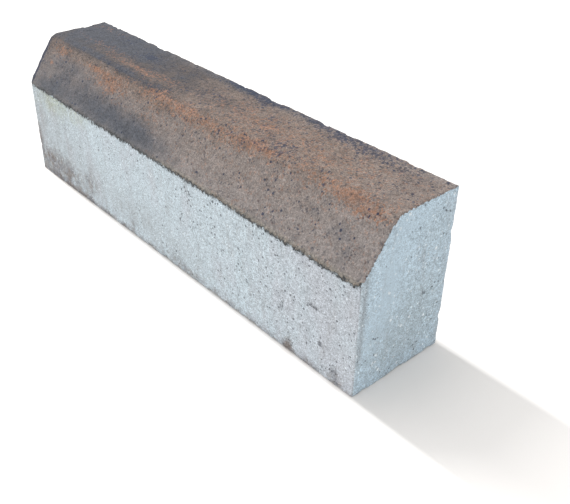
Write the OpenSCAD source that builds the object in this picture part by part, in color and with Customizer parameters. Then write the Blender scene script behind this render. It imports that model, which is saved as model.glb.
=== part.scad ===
// Concrete kerb stone with a splayed, rounded road edge.
// Millimetres, +Z up. X runs along the kerb, the road is on -Y and the pavement on +Y.
// The origin is the middle of the bed face that the stone stands on.

/* [Stone] */
// Length of one stone, from end face to end face
stone_length = 1000; // [250:10:1500]
// Width of the bed, from the road face to the back
stone_width = 200; // [150:5:300]
// Height from the bed to the flat top
stone_height = 300; // [200:5:400]

/* [Splay] */
// Width of the splay, measured across the stone
splay_width = 68; // [30:1:110]
// Height of the splay, measured down from the top
splay_height = 94; // [40:1:140]
// Radius of the crown, where the splay turns into the flat top
crown_radius = 34; // [5:1:50]

/* [Road corners] */
// Rounding of the upright road corners at the bed
corner_radius_bed = 3; // [1:0.5:8]
// Rounding of the upright road corners at the top of the road face
corner_radius_arris = 12; // [9:0.5:20]

/* [Hidden] */
$fn = 96;

// Height of the arris, the edge between the upright road face and the splay
arris_height = stone_height - splay_height;
// Angle of the splay above the horizontal
splay_angle = atan2(splay_height, splay_width);
// From the point where splay and top would meet to where the crown arc begins
crown_reach = crown_radius * tan(splay_angle / 2);

// Growth of the corner rounding for each millimetre of height
corner_growth = (corner_radius_arris - corner_radius_bed) / arris_height;
// How far under the bed the two corner planes and the rounding would meet
corner_depth = corner_radius_bed / corner_growth;
// Lean of the rounding cone's axis, and the half angle at its tip
cone_lean = atan(corner_growth * sqrt(2));
cone_half_angle = asin(corner_growth / sqrt(1 + 2 * pow(corner_growth, 2)));
// Lean of the plane that holds both tangent lines of the cone
chord_lean = atan(corner_growth / sqrt(2));
// Length that takes the cone and its cutter past the top of the stone
cone_length = 1.1 * (stone_height + corner_depth);

// Outline across the stone with a sharp crown, y to the right and z up
module sharp_section() {
    polygon([
        [-stone_width / 2, 0],
        [stone_width / 2, 0],
        [stone_width / 2, stone_height],
        [splay_width - stone_width / 2, stone_height],
        [-stone_width / 2, arris_height],
    ]);
}

// What the crown arc takes off the sharp section. The kite has its corners at the arc's centre,
// where the arc touches the top, at the sharp crown and where it touches the splay. It is drawn
// at twice its size, so that no edge of the cut lies on a face of the stone.
module crown_waste() {
    kite = [
        [0, 0],
        [0, crown_radius],
        [-crown_reach, crown_radius],
        crown_radius * [-sin(splay_angle), cos(splay_angle)],
    ];
    translate([splay_width - stone_width / 2 + crown_reach, stone_height - crown_radius])
        difference() {
            polygon([for (corner = kite) 2 * corner]);
            circle(r = crown_radius);
        }
}

// Outline across the stone as moulded
module section() {
    difference() {
        sharp_section();
        crown_waste();
    }
}

// What the rounding takes off an upright corner on the z axis, with the stone at +x +y.
// The rounding is a cone that touches both faces, so its radius grows with height.
module corner_waste() {
    translate([0, 0, -corner_depth])
        rotate([0, 0, 45])
            difference() {
                rotate([0, chord_lean, 0])
                    translate([-stone_width, -stone_width, 0])
                        cube([stone_width, 2 * stone_width, cone_length]);
                rotate([0, cone_lean, 0])
                    cylinder(h = cone_length, r1 = 0, r2 = cone_length * tan(cone_half_angle));
            }
}

// The whole stone, cast in one piece
module kerb_stone() {
    color("#8f8a86")
        difference() {
            translate([-stone_length / 2, 0, 0])
                rotate([90, 0, 90])
                    linear_extrude(height = stone_length)
                        section();
            for (side = [0, 1])
                mirror([side, 0, 0])
                    translate([-stone_length / 2, -stone_width / 2, 0])
                        corner_waste();
        }
}

kerb_stone();
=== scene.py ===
"""A concrete kerb stone with a worn, two-layer surface, and a plain studio round it.

Laid out as a Blender add-on and run as a script. Lengths are in metres unless a name ends in _mm.
X runs along the kerb, the road is on -Y, +Z is up and the origin is the middle of the bed.
"""

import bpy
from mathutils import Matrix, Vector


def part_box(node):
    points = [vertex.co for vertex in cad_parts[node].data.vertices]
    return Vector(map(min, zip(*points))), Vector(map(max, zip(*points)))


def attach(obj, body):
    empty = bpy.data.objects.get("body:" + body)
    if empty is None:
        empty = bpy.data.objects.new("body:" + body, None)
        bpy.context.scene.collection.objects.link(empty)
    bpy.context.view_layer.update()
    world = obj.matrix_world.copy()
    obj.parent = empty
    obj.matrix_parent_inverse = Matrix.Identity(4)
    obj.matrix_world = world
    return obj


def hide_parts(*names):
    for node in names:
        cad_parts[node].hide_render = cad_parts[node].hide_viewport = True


bl_info = {
    "name": "Weathered kerb stone",
    "version": (1, 0, 0),
    "blender": (4, 5, 0),
    "location": "3D Viewport > Sidebar > Kerb stone",
    "description": "Builds the worn surface of a splayed kerb stone and its two layers of concrete",
    "category": "Object",
}

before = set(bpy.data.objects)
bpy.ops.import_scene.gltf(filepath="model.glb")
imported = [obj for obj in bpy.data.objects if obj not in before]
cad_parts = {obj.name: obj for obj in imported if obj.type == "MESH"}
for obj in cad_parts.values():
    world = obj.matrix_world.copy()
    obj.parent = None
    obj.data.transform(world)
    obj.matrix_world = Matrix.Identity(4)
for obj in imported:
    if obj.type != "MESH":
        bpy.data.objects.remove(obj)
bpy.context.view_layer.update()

from itertools import product
from math import pi, radians
from typing import NamedTuple

import bpy
import numpy as np
from mathutils import Quaternion, Vector

NODE = "kerb_stone"
BODY = "root"
MM = 0.001
MM_PER_M = 1000


def linear(hex_code):
    """An sRGB hex value such as #8a6f62 as linear red, green, blue and alpha."""
    parts = [int(hex_code[i:i + 2], 16) / 255 for i in (1, 3, 5)]
    curve = [p / 12.92 if p <= 0.04045 else ((p + 0.055) / 1.055) ** 2.4 for p in parts]
    return (*curve, 1.0)


def length_property(name, description, default):
    """A property that holds a length in metres."""
    return bpy.props.FloatProperty(
        name=name, description=description, default=default, min=0.0, unit="LENGTH", precision=4
    )


def colour_property(name, description, hex_code):
    """A property that holds a colour, given as sRGB hex."""
    return bpy.props.FloatVectorProperty(
        name=name, description=description, default=linear(hex_code), size=4,
        min=0.0, max=1.0, subtype="COLOR",
    )


class KerbSizes(bpy.types.PropertyGroup):
    """Sizes of the stone's section and of its wear. Its length, width and height are the frame's."""

    splay_width: length_property("Splay width", "Width of the splay across the stone", 0.068)
    splay_height: length_property("Splay height", "Height of the splay below the top", 0.094)
    crown_radius: length_property("Crown radius", "Radius where the splay meets the top", 0.034)
    corner_bed: length_property("Corner at the bed", "Upright road corner at the bed", 0.003)
    corner_arris: length_property("Corner at the arris", "Upright road corner at the arris", 0.012)
    edge_radius: length_property("Edge radius", "Rounding of the moulded edges", 0.002)
    arris_radius: length_property("Arris radius", "Rounding of the arris", 0.0025)
    chip_depth: length_property("Chip depth", "Deepest chip along an edge", 0.0035)
    grain_depth: length_property("Grain depth", "Relief of the pressed concrete grain", 0.0007)


class KerbColours(bpy.types.PropertyGroup):
    """Colours of the two layers of concrete and of what has stained them."""

    brown: colour_property("Brown", "Body of the coloured face mix", "#776a62")
    umber: colour_property("Umber", "Darker clouds in the face mix", "#695c55")
    taupe: colour_property("Taupe", "Paler, bleached face mix on the splay", "#807976")
    rust: colour_property("Rust", "Iron oxide clouds in the face mix", "#886551")
    charcoal: colour_property("Charcoal", "Dark clouds in the face mix", "#40434b")
    soot_brown: colour_property("Soot brown", "Warmer edges of the dark clouds", "#48403d")
    worn_charcoal: colour_property("Worn charcoal", "Dark clouds on the splay", "#484c54")
    anthracite: colour_property("Anthracite", "Dark flecks in the face mix", "#232d43")
    olive: colour_property("Olive", "Worn face mix along the arris", "#82806f")
    grey: colour_property("Grey", "Body of the grey backing concrete", "#c1ced6")
    lilac: colour_property("Lilac grey", "Clouds in the backing concrete", "#bdc3cb")
    laitance: colour_property("Laitance", "Cement skin on the end faces", "#b5c8d5")
    green_grey: colour_property("Green grey", "Open-textured part of an end face", "#acbcc6")
    chalk: colour_property("Chalk", "Pale stone grains in the backing", "#dfe7ec")
    pore: colour_property("Pore", "Shade inside an open pore", "#4a4e54")
    # Colour of the painted shade in the seam under the lip along the arris
    seam: colour_property("Seam", "Dirt under the lip along the arris", "#3d3f40")
    soil: colour_property("Soil", "Brown soil stains", "#786d66")
    lichen: colour_property("Lichen", "Purple-grey growth among the soil", "#77777d")
    moss: colour_property("Moss", "Yellow-green algae", "#a0a56a")


# ---------------------------------------------------------------- numbers on whole arrays

HASH_STEPS = np.array([0x9E3779B97F4A7C15, 0xC2B2AE3D27D4EB4F, 0x165667B19E3779F9], np.uint64)
HASH_MIX = np.uint64(0xD6E8FEB86659FD93)
HASH_SHIFT = np.uint64(32)
HASH_TOP = float(2 ** 64)


def random_at(places, seed):
    """A fixed random number from 0 to 1 for each whole-numbered place, by mixing its bits."""
    bits = (places.astype(np.uint64) * HASH_STEPS).sum(axis=1) + np.uint64(seed) * HASH_STEPS[0]
    for _ in range(2):
        bits ^= bits >> HASH_SHIFT
        bits *= HASH_MIX
    bits ^= bits >> HASH_SHIFT
    return bits / HASH_TOP


def noise(points, cell, seed):
    """Value noise from -1 to 1. Random numbers stand at the corners of boxes of size cell, and
    inside a box they blend along each axis by the smooth step 3t^2 - 2t^3."""
    scaled = points / cell
    corner = np.floor(scaled).astype(np.int64)
    t = scaled - corner
    t = t * t * (3 - 2 * t)
    total = np.zeros(len(points))
    for step in product((0, 1), repeat=3):
        weight = np.where(step, t, 1 - t).prod(axis=1)
        total += weight * random_at(corner + step, seed)
    return 2 * total - 1


def clouds(points, cell, octaves, seed):
    """Noise added to finer noise: each octave has half the cell and half the strength."""
    layers = [noise(points, np.asarray(cell) / 2 ** k, seed + k) / 2 ** k for k in range(octaves)]
    return np.sum(layers, axis=0) / (2 - 2 ** (1 - octaves))


def ramp(values, low, high):
    """0 below low, 1 above high, and the smooth step 3t^2 - 2t^3 between. low may be above
    high."""
    t = np.clip((values - low) / (high - low), 0, 1)
    return t * t * (3 - 2 * t)


def fade(distance, reach, middle=0):
    """1 at the middle and less on both sides: exp(-((distance - middle) / reach)^2)."""
    return np.exp(-((distance - middle) / reach) ** 2)


def graded(count, pull):
    """Places from 0 to 1 that crowd towards both ends: t - pull sin(2 pi t) / 2 pi."""
    t = np.linspace(0, 1, count + 1)
    return t - pull * np.sin(2 * pi * t) / (2 * pi)


def blobs(along, across, patches):
    """Sum of soft ellipses exp(-d^2). Each is (x, y, length, width, strength), lengths in mm."""
    x, y, length, width, strength = np.array(patches, float).T[:, :, None]
    distance = ((along - x) / length) ** 2 + ((across - y) / width) ** 2
    return (strength * np.exp(-distance)).sum(axis=0)


# ---------------------------------------------------------------- shape of the stone

ARC_STEPS = 3
CROWN_STEPS = 12
# Rings along the body, and how much they crowd towards the ends
BODY_STEPS = 328
BODY_PULL = 0.2
RIM_STEPS = 3
# Rings on an end face, and the power by which they crowd towards its rim
CAP_RINGS = 30
CAP_PULL = 1.2
# Rows of faces and how much they crowd towards the edges: back, top, splay, road face, bed
SIDE_STEPS = (50, 44, 38, 78, 14)
SIDE_PULL = (0.6, 0.1, 0.1, 0.1, 0.7)
# The ends' rim is this much smaller where the section's normal turns to the road, because the
# road corners have their own rounding
ROAD_RIM_CUT = 0.85
TURNED_TO_ROAD = (0.85, 0.99)
# Distance in mm within which a point counts as on a face, and a mark for far from the arris
ON_FACE = 1.2
FAR_FROM_ARRIS = 60
# Keeps a length that is divided by from being 0
TINY = 1e-9


class Stone:
    """The stone's sizes, from the frame and from the properties."""

    def __init__(self, sizes):
        _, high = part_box(NODE)
        self.half_length = high.x
        self.half_width = high.y
        self.height = high.z
        self.sizes = sizes
        self.crown_y = sizes.splay_width - self.half_width
        self.arris_z = self.height - sizes.splay_height
        self.splay_normal = np.array([-sizes.splay_height, sizes.splay_width])
        self.splay_normal /= np.hypot(*self.splay_normal)
        crown_turn = np.arccos(self.splay_normal[1])
        self.crown_centre = np.array([
            self.crown_y + sizes.crown_radius * np.tan(crown_turn / 2),
            self.height - sizes.crown_radius,
        ])


def section_outline(stone):
    """The section as points (y, z) with outward normals, anticlockwise from the back of the bed.
    At each corner an arc turns the normal from one side's to the next, and straight rows join the
    arcs. An arc of radius r and turn a starts r tan(a / 2) before its corner."""
    s = stone.sizes
    w = stone.half_width
    corners = np.array([
        (w, 0), (w, stone.height), (stone.crown_y, stone.height), (-w, stone.arris_z), (-w, 0)
    ])
    radii = (s.edge_radius, s.edge_radius, s.crown_radius, s.arris_radius, s.edge_radius)
    arc_steps = (ARC_STEPS, ARC_STEPS, CROWN_STEPS, ARC_STEPS, ARC_STEPS)
    directions = np.roll(corners, -1, axis=0) - corners
    directions /= np.linalg.norm(directions, axis=1)[:, None]
    arcs = []
    for k, (corner, radius, steps) in enumerate(zip(corners, radii, arc_steps)):
        before, after = directions[k - 1], directions[k]
        turn = np.arccos(before @ after)
        start = corner - before * radius * np.tan(turn / 2)
        angle = np.linspace(0, turn, steps + 1)[:, None]
        outward = np.array([before[1], -before[0]])
        normals = outward * np.cos(angle) + before * np.sin(angle)
        arcs.append((start - outward * radius + normals * radius, normals))
    points, normals = [], []
    for k, (steps, pull) in enumerate(zip(SIDE_STEPS, SIDE_PULL)):
        arc_points, arc_normals = arcs[k]
        start, end = arc_points[-1], arcs[(k + 1) % len(arcs)][0][0]
        rows = graded(steps, pull)[1:-1, None]
        points += [arc_points, start + (end - start) * rows]
        normals += [arc_normals, np.repeat(arc_normals[-1:], len(rows), axis=0)]
    return np.concatenate(points), np.concatenate(normals)


def ring_places():
    """For each ring from the pole of the left end to the pole of the right: its place along the
    body from -1 to 1, how far it has risen into the end's rounding (the sine) and dropped off the
    outline (one minus the cosine), and how far it has shrunk towards the pole."""
    angle = np.linspace(0, pi / 2, RIM_STEPS + 1)
    shrink = (np.arange(1, CAP_RINGS) / CAP_RINGS) ** CAP_PULL
    body = 2 * graded(BODY_STEPS, BODY_PULL)[1:-1] - 1
    still = np.zeros(len(body))
    rim_and_cap = np.concatenate([angle, np.full(len(shrink), pi / 2)])
    shrunk = np.concatenate([np.zeros(len(angle)), shrink])
    end = np.ones(len(rim_and_cap))
    along = np.concatenate([-end, body, end])
    rise = np.concatenate([-np.sin(rim_and_cap)[::-1], still, np.sin(rim_and_cap)])
    drop = np.concatenate([1 - np.cos(rim_and_cap)[::-1], still, 1 - np.cos(rim_and_cap)])
    shrink = np.concatenate([shrunk[::-1], still, shrunk])
    return along, rise, drop, shrink


def swept_grid(stone):
    """The whole surface as rings of points (ring, place round the section, xyz). A ring is the
    section, moved in by the rim's radius times its drop and scaled towards its middle."""
    outline, normals = section_outline(stone)
    on_road = ramp(-normals[:, 0], *TURNED_TO_ROAD)
    rim = stone.sizes.edge_radius * (1 - ROAD_RIM_CUT * on_road)
    along, rise, drop, shrink = (v[:, None] for v in ring_places())
    x = along * (stone.half_length - rim) + rise * rim
    centre = outline.mean(axis=0)
    flat = outline - normals * (rim * drop)[..., None]
    flat = centre + (flat - centre) * (1 - shrink)[..., None]
    return np.dstack([x, flat]), np.array([stone.half_length, *centre])


def round_road_corners(grid, stone):
    """Rounds the two upright road corners, more the higher up. In plan, the square of side r at a
    corner becomes a quarter disc: a place (u, v) is scaled by the larger of u and v over its
    distance from the square's inner corner. What moves back also moves up by the splay's slope,
    in proportion to its height, so that the splay stays flat and cuts across the rounding."""
    s = stone.sizes
    x, y, z = np.moveaxis(grid, -1, 0)
    radius = s.corner_bed + (s.corner_arris - s.corner_bed) * z / stone.arris_z
    u = (np.abs(x) - stone.half_length + radius) / radius
    v = (radius - stone.half_width - y) / radius
    inside = (u > 0) & (v > 0)
    shorter = np.where(inside, np.maximum(u, v) / np.maximum(np.hypot(u, v), TINY), 1)
    new_x = np.sign(x) * (stone.half_length - radius + u * shorter * radius)
    new_y = radius - stone.half_width - v * shorter * radius
    slope = s.splay_height / s.splay_width
    new_z = z + (new_y - y) * slope * np.minimum(z / stone.arris_z, 1)
    moved = np.dstack([new_x, new_y, new_z])
    return np.where(inside[..., None], moved, grid)


def grid_normals(grid):
    """Outward normals: the way round the section crossed with the way along the stone."""
    round_way = np.roll(grid, -1, axis=1) - np.roll(grid, 1, axis=1)
    along_way = np.gradient(grid, axis=0)
    normals = np.cross(round_way, along_way)
    return normals / np.linalg.norm(normals, axis=2)[..., None]


class Places:
    """Where each point of the new stone lies, as distances in mm that wear and stains go by."""

    def __init__(self, points, stone):
        x, y, z = points.T / MM
        half_length, half_width = stone.half_length / MM, stone.half_width / MM
        height, arris_z = stone.height / MM, stone.arris_z / MM
        self.points = points
        self.x, self.y, self.z = x, y, z
        self.road = y + half_width
        splay = -((y + half_width) * stone.splay_normal[0] + (z - arris_z) * stone.splay_normal[1])
        # Depth under the top and splay, which are one skin with the crown's arc between them
        out_y = y - stone.crown_centre[0] / MM
        out_z = z - stone.crown_centre[1] / MM
        up_splay = out_y * stone.splay_normal[1] - out_z * stone.splay_normal[0]
        on_crown = (out_y < 0) & (up_splay > 0)
        crown = stone.sizes.crown_radius / MM - np.hypot(out_y, out_z)
        skin = np.where(on_crown, crown, np.minimum(height - z, splay))
        self.skin = np.maximum(skin, 0)
        self.end = half_length - np.abs(x)
        others = np.minimum.reduce([self.end, half_width - y, z, self.road])
        # Above 0 on the top and splay, below 0 on the other faces, 0 along their edges
        self.layer = others - self.skin
        # Above 0 on the splay, below 0 on the road face, 0 along the arris, far from it elsewhere
        on_a_road_side = np.minimum(self.road, self.skin) < ON_FACE
        self.arris = np.where(on_a_road_side, self.road - self.skin, FAR_FROM_ARRIS)
        # Radius of the upright road corner at this height
        growth = (stone.sizes.corner_arris - stone.sizes.corner_bed) / MM / arris_z
        self.corner = stone.sizes.corner_bed / MM + growth * np.minimum(z, arris_z)
        depths = np.sort([self.end, half_width - y, z, self.road, self.skin], axis=0)
        # Distance from the nearest edge, measured on the face
        self.edge = depths[1]
        # Way over the skin from the back edge: across the top, then down the splay
        past_crown = np.hypot(y - stone.crown_y / MM, height - z)
        crown_way = half_width - stone.crown_y / MM
        self.way = np.where(y > stone.crown_y / MM, half_width - y, crown_way + past_crown)


# ---------------------------------------------------------------- wear, stains and painted shade

# Clouds of noise in the relief and in the stains: size of the features in metres, octaves, seed
WAVES = (0.18, 3, 11)
PRESSED_GRAIN = (0.011, 2, 23)
PITS = (0.0075, 1, 31)
CHIPS = (0.020, 3, 41)
CRUMBS = (0.007, 2, 53)
LIP = (0.014, 2, 61)
UNEVEN = (0.05, 4, 71)
STREAKY = (0.022, 4, 83)
BLEACHED_BORDER = (0.06, 3, 97)

# Heights and depths in metres
WAVE_HEIGHT = 0.0005
PIT_DEPTH = 0.0014
CRUMB_DEPTH = 0.0011
LIP_HEIGHT = 0.0006
LIP_UNDERCUT = 0.0009
# Values of the noise between which a pit or a chip deepens
PIT_PEAKS = (0.62, 0.95)
CHIP_PEAKS = (0.22, 0.62)
# How far chips and crumbs reach in from an edge, in mm
CHIP_REACH = 5
CRUMB_REACH = 2.2
# Reach in mm, and middle in mm above or below the arris, of the lip and of the hollow under it
LIP_BAND = (2.5, 3)
HOLLOW_BAND = (3, -3.5)


def wear_heights(place, sizes):
    """How far each point stands out from the moulded shape, in metres. Slow waves and pressed
    grain are noise. Pits are the peaks of fine noise. Chips are the peaks of coarser noise and
    crumbs are fine noise, and both fade with distance from an edge. The face mix ends in a lip,
    and the backing falls back under it. The face mix has more grain and shallower pits."""
    p = place.points
    coloured = ramp(place.layer, -1, 1)
    waves = WAVE_HEIGHT * clouds(p, *WAVES)
    grain = sizes.grain_depth * clouds(p, *PRESSED_GRAIN) * (0.45 + 0.75 * coloured)
    pits = PIT_DEPTH * ramp(clouds(p, *PITS), *PIT_PEAKS) * (1 - 0.6 * coloured)
    chips = sizes.chip_depth * fade(place.edge, CHIP_REACH) * ramp(clouds(p, *CHIPS), *CHIP_PEAKS)
    crumbs = CRUMB_DEPTH * fade(place.edge, CRUMB_REACH) * (0.35 + clouds(p, *CRUMBS))
    above = fade(place.arris, *LIP_BAND) * ramp(-place.skin, -1, 0)
    below = fade(place.arris, *HOLLOW_BAND) * ramp(-place.road, -1, 0)
    ragged = 0.75 + 0.6 * clouds(p, *LIP)
    lip = LIP_HEIGHT * ragged * above - LIP_UNDERCUT * ragged * below
    return waves + grain - pits - chips - np.maximum(crumbs, 0) + lip


# Patches on the top and splay. The second number is the way over the skin from the back edge.
CHARCOAL_PATCHES = (
    (-460, 55, 100, 90, 1.4), (-330, 40, 110, 66, 1.2), (-210, 50, 100, 66, 0.8),
    (-100, 60, 90, 90, 0.75), (40, 80, 100, 80, 0.55), (-320, 126, 150, 14, 0.8),
    (-150, 132, 90, 13, 0.6), (110, 10, 230, 14, 0.55), (250, 60, 160, 60, 0.25),
    (-330, 225, 190, 56, 0.83), (-110, 230, 120, 30, 0.7), (-50, 215, 90, 30, 0.25),
    (-210, 205, 60, 22, 0.15), (-450, 238, 60, 16, 0.3), (-360, 175, 60, 22, 0.25),
    (50, 235, 70, 14, 0.2), (240, 236, 140, 14, 0.3), (-500, 150, 20, 90, 0.4),
    (450, 215, 26, 34, 0.35), (425, 192, 22, 12, 0.45), (365, 184, 16, 10, 0.45),
)
RUST_PATCHES = (
    (-433, 152, 40, 16, 1.0), (-300, 154, 40, 7, 0.9), (-235, 166, 62, 24, 0.8),
    (-200, 104, 105, 11, 0.85), (-130, 90, 60, 7, 0.6), (-440, 22, 60, 12, 0.75),
    (-350, 84, 110, 14, 0.6), (-75, 140, 100, 17, 0.75), (60, 144, 150, 20, 0.6),
    (205, 138, 60, 16, 0.6), (395, 136, 85, 20, 0.8), (455, 150, 30, 12, 0.5),
    (60, 75, 130, 34, 0.35), (-453, 186, 7, 5, 1.2), (-60, 185, 80, 24, 0.25),
    (250, 80, 240, 44, 0.45),
)
FLECK_PATCHES = (
    (-230, 50, 44, 18, 1.6), (-355, 27, 60, 18, 1.0), (-262, 124, 80, 8, 1.1),
    (-130, 133, 90, 9, 1.0), (60, 14, 190, 18, 1.1), (88, 26, 22, 14, 1.2), (8, 66, 24, 12, 1.2),
    (144, 53, 22, 12, 1.2), (236, 112, 36, 22, 0.75), (300, 22, 80, 20, 1.1),
    (410, 26, 100, 20, 1.0), (453, 148, 40, 12, 0.5), (120, 140, 200, 16, 0.5),
    (-25, 85, 60, 24, 1.0), (400, 190, 140, 50, 0.25), (200, 4, 400, 9, 1.0),
    (150, 120, 200, 40, 0.3), (270, 85, 240, 60, 0.35),
)
# Patches on the road face. The second number is the height above the bed.
SOIL_PATCHES = (
    (-450, 36, 70, 52, 1.0), (-345, 34, 60, 42, 0.9), (-272, 50, 26, 36, 0.9),
    (-496, 110, 14, 110, 0.7), (-112, 30, 20, 30, 0.6), (15, 24, 60, 12, 0.5),
    (90, 14, 100, 9, 0.5), (352, 18, 13, 20, 0.75), (461, 22, 20, 24, 0.7), (253, 62, 7, 36, 0.6),
    (-177, 150, 5, 60, 0.4), (262, 178, 8, 30, 0.5), (410, 124, 22, 5, 0.6),
    (330, 8, 200, 9, 0.6), (-300, 6, 260, 8, 0.7),
)
GRIME_PATCHES = (
    (-490, 120, 140, 130, 1.1), (-290, 66, 120, 60, 0.6), (-70, 52, 130, 36, 0.65),
    (60, 40, 90, 30, 0.3),
)
MOSS_PATCHES = ((-400, 180, 90, 36, 0.5), (-300, 192, 60, 18, 0.4), (-360, 203, 120, 4, 0.4))
PIT_PATCHES = (
    (340, 110, 220, 120, 0.75), (130, 110, 120, 90, 0.3), (-85, 70, 5, 4, 1.6),
    (330, 175, 5, 18, 0.5), (337, 85, 5, 28, 0.4), (325, 80, 16, 26, 0.4),
    (410, 122, 22, 4, 0.85), (398, 128, 8, 4, 0.5), (150, 118, 34, 20, 0.3),
    (-265, 48, 20, 24, 0.5), (-112, 22, 16, 16, 0.5), (0, 28, 44, 7, 0.5),
    (250, 60, 6, 44, 0.5), (355, 22, 8, 20, 0.85), (462, 22, 10, 26, 0.95), (425, 60, 6, 6, 1.4),
    (0, 8, 600, 7, 0.3), (-400, 40, 100, 40, 0.3),
)
# Patches where an end face is rougher. The first number is the place across the stone.
OPEN_PATCHES = ((45, 120, 72, 80, 0.7), (-20, 60, 70, 50, 0.65), (65, 250, 45, 45, 0.4))
OPEN_PITS = ((18, 259, 4, 3, 1.6), (47, 131, 5, 4, 1.0), (-36, 275, 5, 4, 1.2))
# Patches where an end face is smoothest
SMOOTH_PATCHES = ((-38, 190, 26, 70, 0.7), (-62, 105, 26, 45, 0.4), (-10, 275, 50, 16, 0.4))

# Way over the skin in mm at which bleaching starts, how much sooner it does towards the right
# end, and how far its border wanders
BLEACHED_FROM = 150
BLEACHED_SOONER = 15
BLEACHED_WANDER = 12
# Ways in mm past that border over which the splay pales, first and fully
FIRST_PALING = (0, 30)
FULL_PALING = (45, 90)
# Ways in mm over which the worn back edge pales, and places in mm of the paler right end
BACK_EDGE = (34, 4)
PALE_END = (300, 480)
# Dark specks gather on the left end's rim: its place and reach in mm, and how many
FAR_RIM = -499
FAR_RIM_REACH = 8
FAR_RIM_FLECKS = 6
# Strength of the soil along the bed and its reach in mm, of the grime up the back, and of the
# lilac towards the right end
BED_SOIL = 0.8
BED_SOIL_REACH = 6
BACK_GRIME = 0.8
RIGHT_LILAC = 0.26
# Strength and reach in mm of the painted shade, in the soil colour, where the rounded road corner
# meets an end
CORNER_SHADE = 0.36
CORNER_SHADE_REACH = 6
# Where the masks stop growing: a distance in mm, and two strengths
LAYER_REACH = 20
MOST_FLECKS = 1.6
MOST_SMOOTH = 0.8


def face_mix_masks(place, uneven):
    """Numbers for the colours of the top and splay, after two distances in mm. Clouds are the
    soft ellipses of their patches, made uneven. Bleaching adds up smooth steps: down the splay
    from a wandering line, at the worn back edge and towards the right end."""
    start = BLEACHED_FROM - BLEACHED_SOONER * ramp(place.x, -100, 300)
    past = place.way - start + BLEACHED_WANDER * clouds(place.points, *BLEACHED_BORDER)
    bleached = 0.65 * ramp(past, *FIRST_PALING) + 0.35 * ramp(past, *FULL_PALING)
    bleached = bleached + 0.4 * ramp(place.way, *BACK_EDGE) * (1 + uneven) / 2
    bleached = bleached + 0.3 * ramp(place.x, *PALE_END)
    far_rim = FAR_RIM_FLECKS * fade(place.x, FAR_RIM_REACH, FAR_RIM) * ramp(place.way, 130, 160)
    flecks = np.minimum(blobs(place.x, place.way, FLECK_PATCHES), MOST_FLECKS)
    return {
        "layer": np.clip(place.layer, -LAYER_REACH, LAYER_REACH),
        "arris": np.clip(place.arris, -FAR_FROM_ARRIS, FAR_FROM_ARRIS),
        "bleached": np.minimum(bleached, 1),
        "charcoal": blobs(place.x, place.way, CHARCOAL_PATCHES) * (1 + uneven) / 2,
        "rust": blobs(place.x, place.way, RUST_PATCHES) * uneven,
        "flecks": flecks * uneven + far_rim,
    }


def corner_shade(place):
    """Painted shade down each end: a soft line where the rounded road corner meets it, fading out
    towards the bed."""
    line = fade(place.road - place.end, CORNER_SHADE_REACH, place.corner)
    return CORNER_SHADE * line * ramp(place.z, 10, 90) * ramp(place.road, 40, 20)


def backing_masks(place, uneven):
    """Numbers for the colours of the road face and the ends. Stains, open texture and pits are
    the soft ellipses of their patches, each kept to its face by smooth steps on the distances.
    Soil also creeps up from the bed, and grime up the back."""
    streaky = 1 + 0.9 * clouds(place.points * (1.0, 1.0, 0.5), *STREAKY)
    lengthwise = ramp(place.skin, 0, 3)
    end_face = ramp(-place.end, -2, -0.5) * ramp(place.road, 0, place.corner * 0.9)
    on_road_face = ramp(-place.road, -2, -0.5) * lengthwise
    at_bed = BED_SOIL * np.exp(-place.z / BED_SOIL_REACH)
    at_back = BACK_GRIME * ramp(place.road, 180, 198) * ramp(place.z, 150, 10) * lengthwise
    soil = (blobs(place.x, place.z, SOIL_PATCHES) * on_road_face + at_bed) * streaky
    grime = (blobs(place.x, place.z, GRIME_PATCHES) * on_road_face + at_back) * streaky
    open_texture = blobs(place.y, place.z, OPEN_PATCHES) * end_face
    smooth = blobs(place.y, place.z, SMOOTH_PATCHES) * end_face
    road_pits = blobs(place.x, place.z, PIT_PATCHES) * on_road_face
    end_pits = blobs(place.y, place.z, OPEN_PITS) * end_face
    return {
        "soil": soil * lengthwise,
        # Painted shade where the rounded road corner meets each end
        "corner_shade": corner_shade(place) * lengthwise,
        "moss": blobs(place.x, place.z, MOSS_PATCHES) * uneven * on_road_face,
        "pits": road_pits + end_pits + (0.5 + 0.5 * open_texture - smooth) * end_face,
        "lilac": RIGHT_LILAC * ramp(place.x, 180, 450) * on_road_face,
        "grime": grime,
        "open_texture": open_texture,
        "smooth": np.minimum(smooth, MOST_SMOOTH),
        "end_face": end_face,
    }


def surface_masks(place):
    """The named numbers that the concrete's colours go by, one for each point."""
    uneven = 1 + 0.6 * clouds(place.points, *UNEVEN)
    return {**face_mix_masks(place, uneven), **backing_masks(place, uneven)}


def joined_faces(rings, columns):
    """Faces of the rings' grid, round the section and along the stone, and the two fans of
    triangles that close it at its poles. All of them face outwards."""
    i, j = np.meshgrid(np.arange(rings - 1), np.arange(columns), indexing="ij")
    following = (j + 1) % columns
    quads = np.stack([i, i, i + 1, i + 1], -1) * columns + np.stack([j, following, following, j], -1)
    here = np.arange(columns)
    after = (here + 1) % columns
    last = (rings - 1) * columns
    left_pole = np.full(columns, rings * columns)
    left = np.stack([left_pole, after, here], -1)
    right = np.stack([left_pole + 1, last + here, last + after], -1)
    return quads.reshape(-1, 4), np.concatenate([left, right])


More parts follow.
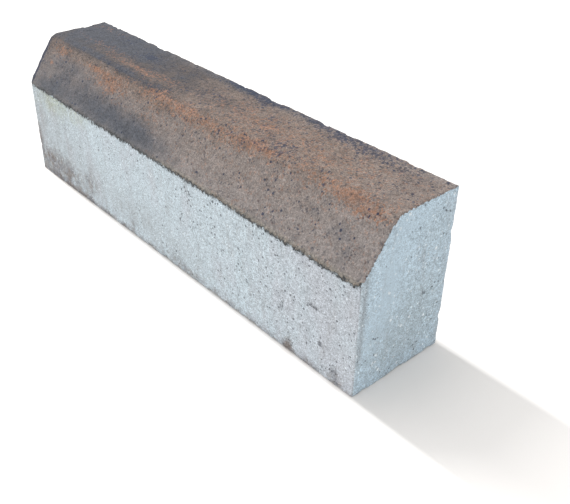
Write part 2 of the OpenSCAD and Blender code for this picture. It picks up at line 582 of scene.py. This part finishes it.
def new_mesh(name, points, quads, triangles):
    """A mesh put in as whole arrays: corners of all quads, then of all triangles."""
    mesh = bpy.data.meshes.new(name)
    corners = np.concatenate([quads.ravel(), triangles.ravel()])
    starts = np.concatenate([
        np.arange(len(quads)) * 4, len(quads) * 4 + np.arange(len(triangles)) * 3
    ])
    mesh.vertices.add(len(points))
    mesh.vertices.foreach_set("co", points.ravel())
    mesh.loops.add(len(corners))
    mesh.loops.foreach_set("vertex_index", corners.astype(np.int32))
    mesh.polygons.add(len(starts))
    mesh.polygons.foreach_set("loop_start", starts.astype(np.int32))
    mesh.polygons.foreach_set("use_smooth", np.ones(len(starts), bool))
    mesh.update(calc_edges=True)
    mesh.validate()
    return mesh


def new_piece(name, mesh, material):
    """An object at the origin with one material."""
    piece = bpy.data.objects.new(name, mesh)
    bpy.context.scene.collection.objects.link(piece)
    mesh.materials.append(material)
    return piece


def weathered_stone(stone, material):
    """The stone as one closed surface: the swept grid with rounded road corners, moved along its
    normals by the wear, with the colour masks as attributes. Wear and masks go by the places
    that the points had before the corners were rounded, where each point lies on one face."""
    square, pole = swept_grid(stone)
    grid = round_road_corners(square, stone)
    rings, columns = grid.shape[:2]
    poles = [pole * (-1, 1, 1), pole]
    points = np.concatenate([grid.reshape(-1, 3), poles])
    normals = np.concatenate([grid_normals(grid).reshape(-1, 3), [(-1, 0, 0), (1, 0, 0)]])
    place = Places(np.concatenate([square.reshape(-1, 3), poles]), stone)
    worn = points + normals * wear_heights(place, stone.sizes)[:, None]
    worn[:, 2] = np.maximum(worn[:, 2], 0)
    mesh = new_mesh("weathered_stone", worn, *joined_faces(rings, columns))
    for name, values in surface_masks(place).items():
        mask = mesh.attributes.new(name, "FLOAT", "POINT")
        mask.data.foreach_set("value", values.astype(np.float32))
    return new_piece("weathered_stone", mesh, material)


# ---------------------------------------------------------------- concrete

class Pattern(NamedTuple):
    """How something spreads over the concrete. Noise with features of this size in mm, stretched
    along x, y and z, is multiplied by gain and added to a mask. A smooth step turns the sum into
    a share: none at low, most at high."""

    size: float
    seed: float
    detail: float = 2.0
    roughness: float = 0.6
    stretch: tuple = None
    gain: float = 1.0
    low: float = 0.0
    high: float = 1.0
    most: float = 1.0


# Clouds, grains and runs in the face mix
BROWN_CLOUDS = Pattern(45, seed=1, detail=5, roughness=0.65, low=0.33, high=0.56)
CHARCOAL_CLOUDS = Pattern(26, seed=3, detail=6, roughness=0.7, low=0.1, high=1.15, most=0.97)
RUST_CLOUDS = Pattern(
    12, seed=4, detail=5, roughness=0.8, stretch=(1.6, 1, 1), gain=2.4, low=1.55, high=2.6, most=0.9
)
ANTHRACITE_GRAINS = Pattern(14, seed=7, detail=3, gain=0.9, low=-0.04, high=0.04, most=0.45)
ANTHRACITE_SPOTS = Pattern(
    6.5, seed=5, detail=4, roughness=0.7, gain=2.6, low=1.8, high=2.0, most=0.7
)
SPLAY_DRIPS = Pattern(
    13, seed=25, detail=4, roughness=0.7, stretch=(1, 3, 3), low=0.52, high=0.7, most=0.4
)
FACE_STREAKS = Pattern(15, seed=9, detail=4, roughness=0.7, stretch=(1.8, 1, 1))
FACE_SAND = Pattern(1.9, seed=2, detail=1)
# Clouds, stains and pores in the grey backing
LILAC_STREAKS = Pattern(
    50, seed=11, detail=3, roughness=0.5, stretch=(1, 1, 2.5), low=0.44, high=0.85
)
GREEN_CLOUDS = Pattern(14, seed=12, detail=5, roughness=0.75, gain=1.4, low=0.7, high=1.6)
LICHEN_CLOUDS = Pattern(16, seed=18, detail=3, low=0.42, high=0.56)
SOIL_CLOUDS = Pattern(10, seed=13, detail=5, roughness=0.8, gain=3.0, low=1.7, high=3.1, most=0.9)
SOIL_DRIPS = Pattern(
    16, seed=24, detail=4, roughness=0.65, stretch=(1, 1, 5), low=0.5, high=0.72, most=0.22
)
MOSS_CLOUDS = Pattern(8, seed=14, detail=4, roughness=0.8, gain=1.6, low=0.9, high=2.0, most=0.6)
PORE_CLOUDS = Pattern(4, seed=15, detail=4, roughness=0.75, gain=2.2, low=2.3, high=2.6)
MOTTLING = Pattern(7, seed=19, detail=4, roughness=0.7)
BACKING_SAND = Pattern(1.9, seed=17, detail=1)
# Where the two layers meet, and the relief of both
RAGGED_BORDER = Pattern(7, seed=21, detail=4, roughness=0.75)
SEAM_GAPS = Pattern(9, seed=23, detail=3)
FINE_RELIEF = Pattern(2.6, seed=22, detail=2, roughness=0.7)

# Sizes in mm of sand grains, dark flecks, open pores and gravel
GRAIN_SIZE = 3.0
FLECK_SIZE = 5.5
PORE_SIZE = 4.5
GRAVEL_SIZE = 9
FLECK_SEED = 6
PORE_SEED = 16

MASKS = (
    "layer", "arris", "bleached", "charcoal", "rust", "flecks", "soil", "corner_shade", "moss",
    "pits", "lilac", "grime", "open_texture", "smooth", "end_face",
)
# Settings that many nodes share
SMOOTH = {"interpolation_type": "SMOOTHSTEP"}
OF_COLOURS = {"data_type": "RGBA"}


class Concrete:
    """A material's node tree with the few steps that its two layers share."""

    def __init__(self, name):
        self.material = bpy.data.materials.new(name)
        self.material.use_nodes = True
        self.tree = self.material.node_tree
        self.tree.nodes.clear()
        self.place = self.add("TexCoord").outputs["Object"]
        self.masks = {
            mask: self.add("Attribute", attribute_name=mask).outputs["Fac"] for mask in MASKS
        }

    def add(self, kind, *inputs, by_name=None, **settings):
        """A node of this kind with its settings. Its inputs are values or links, in the order of
        the sockets that the settings leave in use, or by name. A link is an output, or a node
        that stands for its first output in use."""
        node = self.tree.nodes.new("ShaderNode" + kind)
        for name, value in settings.items():
            setattr(node, name, value)
        in_use = [socket for socket in node.inputs if socket.enabled]
        pairs = list(zip(in_use, inputs))
        pairs += [(node.inputs[name], value) for name, value in (by_name or {}).items()]
        for socket, value in pairs:
            if isinstance(value, bpy.types.Node):
                value = next(output for output in value.outputs if output.enabled)
            if isinstance(value, bpy.types.NodeSocket):
                self.tree.links.new(value, socket)
            else:
                socket.default_value = value
        return node

    def noise(self, pattern):
        """Noise in this pattern, mostly 0.3 to 0.7."""
        where = self.place
        if pattern.stretch:
            squeeze = [1 / s for s in pattern.stretch]
            where = self.add("Mapping", by_name={"Vector": where, "Scale": squeeze})
        return self.add("TexNoise", where, pattern.seed, MM_PER_M / pattern.size, pattern.detail,
                        pattern.roughness, noise_dimensions="4D")

    def share(self, pattern, mask=0.0):
        """How much of something lies at each place, by its pattern and its mask."""
        total = self.add("Math", self.noise(pattern), pattern.gain, mask, operation="MULTIPLY_ADD")
        return self.add("MapRange", total, pattern.low, pattern.high, 0.0, pattern.most, **SMOOTH)

    def stained(self, colour, stain, pattern, mask=0.0):
        """The colour with a stain over it, by the stain's pattern and mask."""
        return self.add("Mix", self.share(pattern, mask), colour, stain, **OF_COLOURS)

    def shade(self, colour, value, low, high, dark=0.0, light=1.0):
        """The colour made darker or lighter: value from dark to light gives brightness low to
        high, and goes on past them."""
        level = self.add("MapRange", value, dark, light, low, high, clamp=False)
        grey = self.add("CombineColor", level, level, level)
        return self.add("Mix", 1.0, colour, grey, blend_type="MULTIPLY", **OF_COLOURS)

    def grains(self, size):
        """Packed grains of this size in mm: the distance from a grain's middle, in grains, and
        two random numbers from 0 to 1 for each grain."""
        cells = self.add("TexVoronoi", self.place, MM_PER_M / size)
        numbers = self.add("SeparateColor", cells.outputs["Color"])
        return cells.outputs["Distance"], numbers.outputs[0], numbers.outputs[1]

    def dots(self, size, seed, share):
        """Small ragged spots, at most one in each cell of this size in mm. Their radius is random
        and their outline moves with noise of half their size. share is how much of all the cells
        have one; it rises and falls by about 0.15 in clouds six cells wide."""
        middle, radius, pick = self.grains(size)
        outline = self.noise(Pattern(size * 0.5, seed))
        ragged = self.add("Math", outline, 0.5, middle, operation="MULTIPLY_ADD")
        ragged = self.add("Math", radius, -0.45, ragged, operation="MULTIPLY_ADD")
        inside = self.add("MapRange", ragged, 0.42, 0.26, **SMOOTH)
        gathered = self.noise(Pattern(size * 6, seed + 0.5))
        gathered = self.add("Math", gathered, 0.8, share, operation="MULTIPLY_ADD")
        filled = self.add("Math", pick, gathered, operation="ADD")
        filled = self.add("MapRange", filled, 1.39, 1.41, **SMOOTH)
        return self.add("Math", filled, inside, operation="MULTIPLY")

    def sand(self, colour, pattern, gain, contrast):
        """The colour shaded by sand too fine to see as grains. Noise about its mean, times gain,
        gives 1 less contrast at -0.2 and 1 plus contrast at 0.2."""
        fine = self.add("Math", self.noise(pattern), 0.5, operation="SUBTRACT")
        fine = self.add("Math", fine, gain, operation="MULTIPLY")
        return self.shade(colour, fine, 1 - contrast, 1 + contrast, -0.2, 0.2)


def charcoal_clouds(c, colour, colours):
    """Dark clouds by their mask, with noise added that is stronger where nothing is bleached.
    Their edges are warmer than their middles. On the bleached splay they also run down in
    drips."""
    bleached = c.masks["bleached"]
    gain = c.add("Math", bleached, -0.8, 1.4, operation="MULTIPLY_ADD")
    uneven = c.add("Math", c.noise(CHARCOAL_CLOUDS), 0.5, operation="SUBTRACT")
    depth = c.add("Math", uneven, gain, c.masks["charcoal"], operation="MULTIPLY_ADD")
    at_edge = c.add("MapRange", depth, 1.5, 0.8, **SMOOTH)
    unbleached = c.add("MapRange", bleached, 0.5, 0.1, **SMOOTH)
    warm = c.add("Math", at_edge, unbleached, operation="MULTIPLY")
    warm = c.add("Math", warm, 0.8, operation="MULTIPLY")
    dark = c.add("Mix", warm, colours.charcoal, colours.soot_brown, **OF_COLOURS)
    dark = c.add("Mix", bleached, dark, colours.worn_charcoal, **OF_COLOURS)
    low, high, most = CHARCOAL_CLOUDS.low, CHARCOAL_CLOUDS.high, CHARCOAL_CLOUDS.most
    cover = c.add("MapRange", depth, low, high, 0.0, most, **SMOOTH)
    colour = c.add("Mix", cover, colour, dark, **OF_COLOURS)
    drips = c.add("Math", c.share(SPLAY_DRIPS), bleached, operation="MULTIPLY")
    return c.add("Mix", drips, colour, colours.worn_charcoal, **OF_COLOURS)


def rust_clouds(c, colour, colours, pick):
    """Rust clouds by their mask, less where charcoal lies, with single grains by their random
    number."""
    under_charcoal = c.add("MapRange", c.masks["charcoal"], 0.0, 1.2, 0.0, -0.4, **SMOOTH)
    rust = c.add("Math", c.masks["rust"], under_charcoal, operation="ADD")
    chosen = c.add("MapRange", pick, 0.5, 0.95, **SMOOTH)
    rust = c.add("Math", chosen, 0.7, rust, operation="MULTIPLY_ADD")
    return c.stained(colour, colours.rust, RUST_CLOUDS, rust)


def anthracite_flecks(c, colour, colours, tone):
    """Dark specks of three kinds, more of each where the flecks mask says: single sand grains by
    their random number, irregular spots, and rounder flecks of 1 to 6 mm."""
    flecks = c.masks["flecks"]
    grains = c.add("Math", flecks, 0.08, -0.36, operation="MULTIPLY_ADD")
    grains = c.add("Math", c.masks["bleached"], -0.07, grains, operation="MULTIPLY_ADD")
    grains = c.add("Math", grains, tone, operation="SUBTRACT")
    colour = c.stained(colour, colours.anthracite, ANTHRACITE_GRAINS, grains)
    spots = c.add("Math", flecks, 0.4, operation="MULTIPLY")
    colour = c.stained(colour, colours.anthracite, ANTHRACITE_SPOTS, spots)
    share = c.add("Math", flecks, 0.2, 0.03, operation="MULTIPLY_ADD")
    dots = c.add("Math", c.dots(FLECK_SIZE, FLECK_SEED, share), 0.85, operation="MULTIPLY")
    return c.add("Mix", dots, colour, colours.anthracite, **OF_COLOURS)


def worn_arris(c, colour, colours):
    """A paler olive band in the last few mm of the splay, weaker where charcoal lies."""
    arris = c.masks["arris"]
    band = c.add("MapRange", arris, 7.0, 1.0, 0.0, 0.3, **SMOOTH)
    on_splay = c.add("MapRange", arris, -4.0, 0.0, **SMOOTH)
    band = c.add("Math", band, on_splay, operation="MULTIPLY")
    clear = c.add("MapRange", c.masks["charcoal"], 0.7, 0.2, 0.2, 1.0, **SMOOTH)
    band = c.add("Math", band, clear, operation="MULTIPLY")
    return c.add("Mix", band, colour, colours.olive, **OF_COLOURS)


def coloured_face_mix(c, colours):
    """Face mix of quartz sand coloured with iron oxides, its brown, rust and anthracite batches
    blended in the mixer: soft clouds of each colour, with single grains of rust and anthracite.
    The grains are drawn at 3 mm, twice their real size, to show at all from a few steps away."""
    _, tone, pick = c.grains(GRAIN_SIZE)
    colour = c.stained(colours.umber, colours.brown, BROWN_CLOUDS)
    colour = c.add("Mix", c.masks["bleached"], colour, colours.taupe, **OF_COLOURS)
    colour = charcoal_clouds(c, colour, colours)
    colour = rust_clouds(c, colour, colours, pick)
    colour = anthracite_flecks(c, colour, colours, tone)
    colour = worn_arris(c, colour, colours)
    colour = c.shade(colour, tone, 0.86, 1.2)
    colour = c.shade(colour, c.noise(FACE_STREAKS), 0.86, 1.14, 0.35, 0.65)
    gain = c.add("Math", c.masks["bleached"], -0.35, 1.1, operation="MULTIPLY_ADD")
    return c.sand(colour, FACE_SAND, gain, 0.45)


def weather_stains_and_corner_shade(c, colour, colours):
    """Soil with lichen in it, painted shade in the soil colour where the rounded road corners meet
    the ends, brown runs and algae, each over the one before.
    """
    dirt = c.stained(colours.soil, colours.lichen, LICHEN_CLOUDS)
    colour = c.stained(colour, dirt, SOIL_CLOUDS, c.masks["soil"])
    # Painted shade, in the soil colour, where the rounded road corner meets each end
    colour = c.add("Mix", c.masks["corner_shade"], colour, colours.soil, **OF_COLOURS)
    grime = c.add("Math", c.masks["grime"], 0.25, operation="MULTIPLY")
    colour = c.add("Mix", grime, colour, colours.soil, **OF_COLOURS)
    colour = c.stained(colour, colours.soil, SOIL_DRIPS)
    return c.stained(colour, colours.moss, MOSS_CLOUDS, c.masks["moss"])


def open_pores(c):
    """How open the skin is: ragged pits and small single pores, more where the mask says."""
    share = c.add("Math", c.masks["pits"], 0.13, operation="MULTIPLY")
    dots = c.dots(PORE_SIZE, PORE_SEED, share)
    return c.add("Math", c.share(PORE_CLOUDS, c.masks["pits"]), dots, operation="MAXIMUM")


def chalky_stones(c, colour, colours, pick):
    """Single pale sand grains, and on the end faces a few pieces of pale gravel."""
    chosen = c.add("MapRange", pick, 0.98, 0.985, 0.0, 0.6, **SMOOTH)
    colour = c.add("Mix", chosen, colour, colours.chalk, **OF_COLOURS)
    middle, _, pick = c.grains(GRAVEL_SIZE)
    chosen = c.add("MapRange", pick, 0.93, 0.94, **SMOOTH)
    inside = c.add("MapRange", middle, 0.4, 0.25, 0.0, 0.8, **SMOOTH)
    gravel = c.add("Math", chosen, inside, operation="MULTIPLY")
    gravel = c.add("Math", gravel, c.masks["end_face"], operation="MULTIPLY")
    return c.add("Mix", gravel, colour, colours.chalk, **OF_COLOURS)


def grey_backing(c, colours, pores):
    """Dry-cast grey backing concrete out of a steel mould: a pale cement skin in faint upright
    streaks, with small open pores darkened by painted shade, painted shade where the rounded road
    corners meet the ends, and whatever has stained it."""
    _, tone, pick = c.grains(GRAIN_SIZE)
    colour = c.stained(colours.grey, colours.lilac, LILAC_STREAKS, c.masks["lilac"])
    end = c.stained(colours.laitance, colours.green_grey, GREEN_CLOUDS, c.masks["open_texture"])
    colour = c.add("Mix", c.masks["end_face"], colour, end, **OF_COLOURS)
    colour = weather_stains_and_corner_shade(c, colour, colours)
    mottled = c.add("Math", c.noise(MOTTLING), 0.5, operation="SUBTRACT")
    gain = c.add("Math", c.masks["pits"], 0.3, operation="ADD")
    mottled = c.add("Math", mottled, gain, operation="MULTIPLY")
    colour = c.shade(colour, mottled, 0.8, 1.2, -0.2, 0.2)
    # Painted shade inside the open pores
    inside = c.add("Math", pores, 0.72, operation="MULTIPLY")
    colour = c.add("Mix", inside, colour, colours.pore, **OF_COLOURS)
    colour = chalky_stones(c, colour, colours, pick)
    colour = c.shade(colour, tone, 0.95, 1.05)
    gain = c.add("Math", 1.0, c.masks["smooth"], operation="SUBTRACT")
    return c.sand(colour, BACKING_SAND, gain, 0.36)


def shaded_seam_line(c, ragged):
    """How much painted shade lies under the lip: a line along the arris that wanders with the
    border's noise and thins out in places."""
    wander = c.add("MapRange", ragged, 0.3, 0.7, -1.8, 2.8, **SMOOTH)
    away = c.add("Math", c.masks["arris"], wander, operation="ADD")
    away = c.add("Math", away, operation="ABSOLUTE")
    line = c.add("MapRange", away, 2.8, 0.4, **SMOOTH)
    gaps = c.add("MapRange", c.noise(SEAM_GAPS), 0.38, 0.52, 0.35, 1.0, **SMOOTH)
    return c.add("Math", line, gaps, operation="MULTIPLY")


def two_layer_concrete(colours):
    """Pressed concrete in two layers, both left as moulded: matt, finely rough and unsealed. The
    eye gets a speckled brown skin that stops in a ragged line on plain pale grey."""
    c = Concrete("pressed_two_layer_concrete")
    pores = open_pores(c)
    ragged = c.noise(RAGGED_BORDER)
    wander = c.add("MapRange", ragged, 0.3, 0.7, -2.2, 2.2, **SMOOTH)
    edge = c.add("Math", c.masks["layer"], wander, operation="ADD")
    coloured = c.add("MapRange", edge, -0.5, 0.5, **SMOOTH)
    backing = grey_backing(c, colours, pores)
    colour = c.add("Mix", coloured, backing, coloured_face_mix(c, colours), **OF_COLOURS)
    seam = shaded_seam_line(c, ragged)
    # Painted shade in the seam under the lip along the arris
    colour = c.add("Mix", seam, colour, colours.seam, **OF_COLOURS)

    fine = c.noise(FINE_RELIEF)
    sunk = c.add("Math", pores, -1.0, operation="MULTIPLY")
    height = c.add("Math", fine, 0.8, sunk, operation="MULTIPLY_ADD")
    height = c.add("Math", height, seam, operation="SUBTRACT")
    bump = c.add("Bump", by_name={"Strength": 0.6, "Distance": MM, "Height": height})
    surface = c.add("BsdfPrincipled", by_name={
        "Base Color": colour, "IOR": 1.5, "Normal": bump,
        "Roughness": c.add("MapRange", fine, 0.2, 0.8, 0.82, 0.96, **SMOOTH),
    })
    c.add("OutputMaterial", surface)
    return c.material


# ---------------------------------------------------------------- studio

FLOOR_HALF_SIZE = 30.0
CAMERA_PLACE = Vector((1.0803, -0.7647, 0.8515))
CAMERA_FORWARD = Vector((-0.6187, 0.5563, -0.5547))
CAMERA_ROLL = radians(0.87)
CAMERA_LENS_MM = 49.42
SENSOR_WIDTH_MM = 36.0
PAPER = "#f6f3f0"
SKY_STRENGTH = 0.80
# The two soft boxes: name, place, width and length in metres, and power in watts
SOFTBOXES = (
    ("high_softbox", (-2.24, 0.0, 7.52), (0.4, 3.4), 102),
    ("low_softbox", (-5.4, 0.0, 5.36), (0.3, 4.5), 430),
)
SOFTBOX_TARGET = (0.5, 0.0, 0.0)


def studio_floor():
    """A flat square that the stone stands on, with a matt white paper finish."""
    paper = bpy.data.materials.new("matt_white_paper")
    paper.use_nodes = True
    shader = paper.node_tree.nodes["Principled BSDF"]
    shader.inputs["Base Color"].default_value = linear(PAPER)
    shader.inputs["Roughness"].default_value = 0.9
    shader.inputs["Specular IOR Level"].default_value = 0.1
    half = FLOOR_HALF_SIZE
    corners = np.array([(-half, -half, 0), (half, -half, 0), (half, half, 0), (-half, half, 0)])
    mesh = new_mesh("studio_floor", corners, np.array([[0, 1, 2, 3]]), np.zeros((0, 3), int))
    floor = new_piece("studio_floor", mesh, paper)


def softbox(name, place, size, watts):
    """A rectangular soft box at place that faces the foot of the right end."""
    lamp = bpy.data.lights.new(name, "AREA")
    lamp.shape = "RECTANGLE"
    lamp.size, lamp.size_y = size
    lamp.energy = watts
    light = bpy.data.objects.new(name, lamp)
    light.location = place
    aim = Vector(SOFTBOX_TARGET) - Vector(place)
    light.rotation_euler = aim.to_track_quat("-Z", "Y").to_euler()
    bpy.context.scene.collection.objects.link(light)


def studio_sky():
    """An even white sky, which is most of the light."""
    world = bpy.data.worlds.new("white_studio")
    world.use_nodes = True
    background = world.node_tree.nodes["Background"]
    background.inputs["Color"].default_value = (1.0, 1.0, 1.0, 1.0)
    background.inputs["Strength"].default_value = SKY_STRENGTH
    bpy.context.scene.world = world


def studio_camera():
    """A camera a little above the stone, off its near road corner."""
    camera = bpy.data.objects.new("camera", bpy.data.cameras.new("camera"))
    camera.data.lens = CAMERA_LENS_MM
    camera.data.sensor_width = SENSOR_WIDTH_MM
    camera.location = CAMERA_PLACE
    roll = Quaternion((0, 0, 1), CAMERA_ROLL)
    camera.rotation_mode = "QUATERNION"
    camera.rotation_quaternion = CAMERA_FORWARD.to_track_quat("-Z", "Y") @ roll
    bpy.context.scene.collection.objects.link(camera)
    bpy.context.scene.camera = camera


# ---------------------------------------------------------------- add-on

class KERB_OT_cast_stone(bpy.types.Operator):
    """Build the weathered stone over the plain one"""

    bl_idname = "kerb.cast_stone"
    bl_label = "Cast the stone"

    def execute(self, context):
        stone = Stone(context.scene.kerb_sizes)
        piece = weathered_stone(stone, two_layer_concrete(context.scene.kerb_colours))
        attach(piece, BODY)
        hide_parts(NODE)
        return {"FINISHED"}


class KERB_OT_set_stage(bpy.types.Operator):
    """Add the floor, the lights and the camera"""

    bl_idname = "kerb.set_stage"
    bl_label = "Set the stage"

    def execute(self, context):
        studio_camera()
        studio_floor()
        studio_sky()
        for box in SOFTBOXES:
            softbox(*box)
        context.scene.view_settings.view_transform = "Standard"
        return {"FINISHED"}


class KERB_PT_panel(bpy.types.Panel):
    """Sidebar panel with the stone's sizes, colours and operators"""

    bl_label = "Kerb stone"
    bl_idname = "KERB_PT_panel"
    bl_space_type = "VIEW_3D"
    bl_region_type = "UI"
    bl_category = "Kerb stone"

    def draw(self, context):
        for group in (context.scene.kerb_sizes, context.scene.kerb_colours):
            column = self.layout.column()
            for name in group.__annotations__:
                column.prop(group, name)
        for operator in OPERATORS:
            self.layout.operator(operator.bl_idname)


OPERATORS = (KERB_OT_set_stage, KERB_OT_cast_stone)
CLASSES = (KerbSizes, KerbColours, *OPERATORS, KERB_PT_panel)


def register():
    for item in CLASSES:
        bpy.utils.register_class(item)
    bpy.types.Scene.kerb_sizes = bpy.props.PointerProperty(type=KerbSizes)
    bpy.types.Scene.kerb_colours = bpy.props.PointerProperty(type=KerbColours)


def unregister():
    del bpy.types.Scene.kerb_colours
    del bpy.types.Scene.kerb_sizes
    for item in reversed(CLASSES):
        bpy.utils.unregister_class(item)


def main():
    register()
    bpy.ops.kerb.set_stage()
    bpy.ops.kerb.cast_stone()


if __name__ == "__main__":
    main()
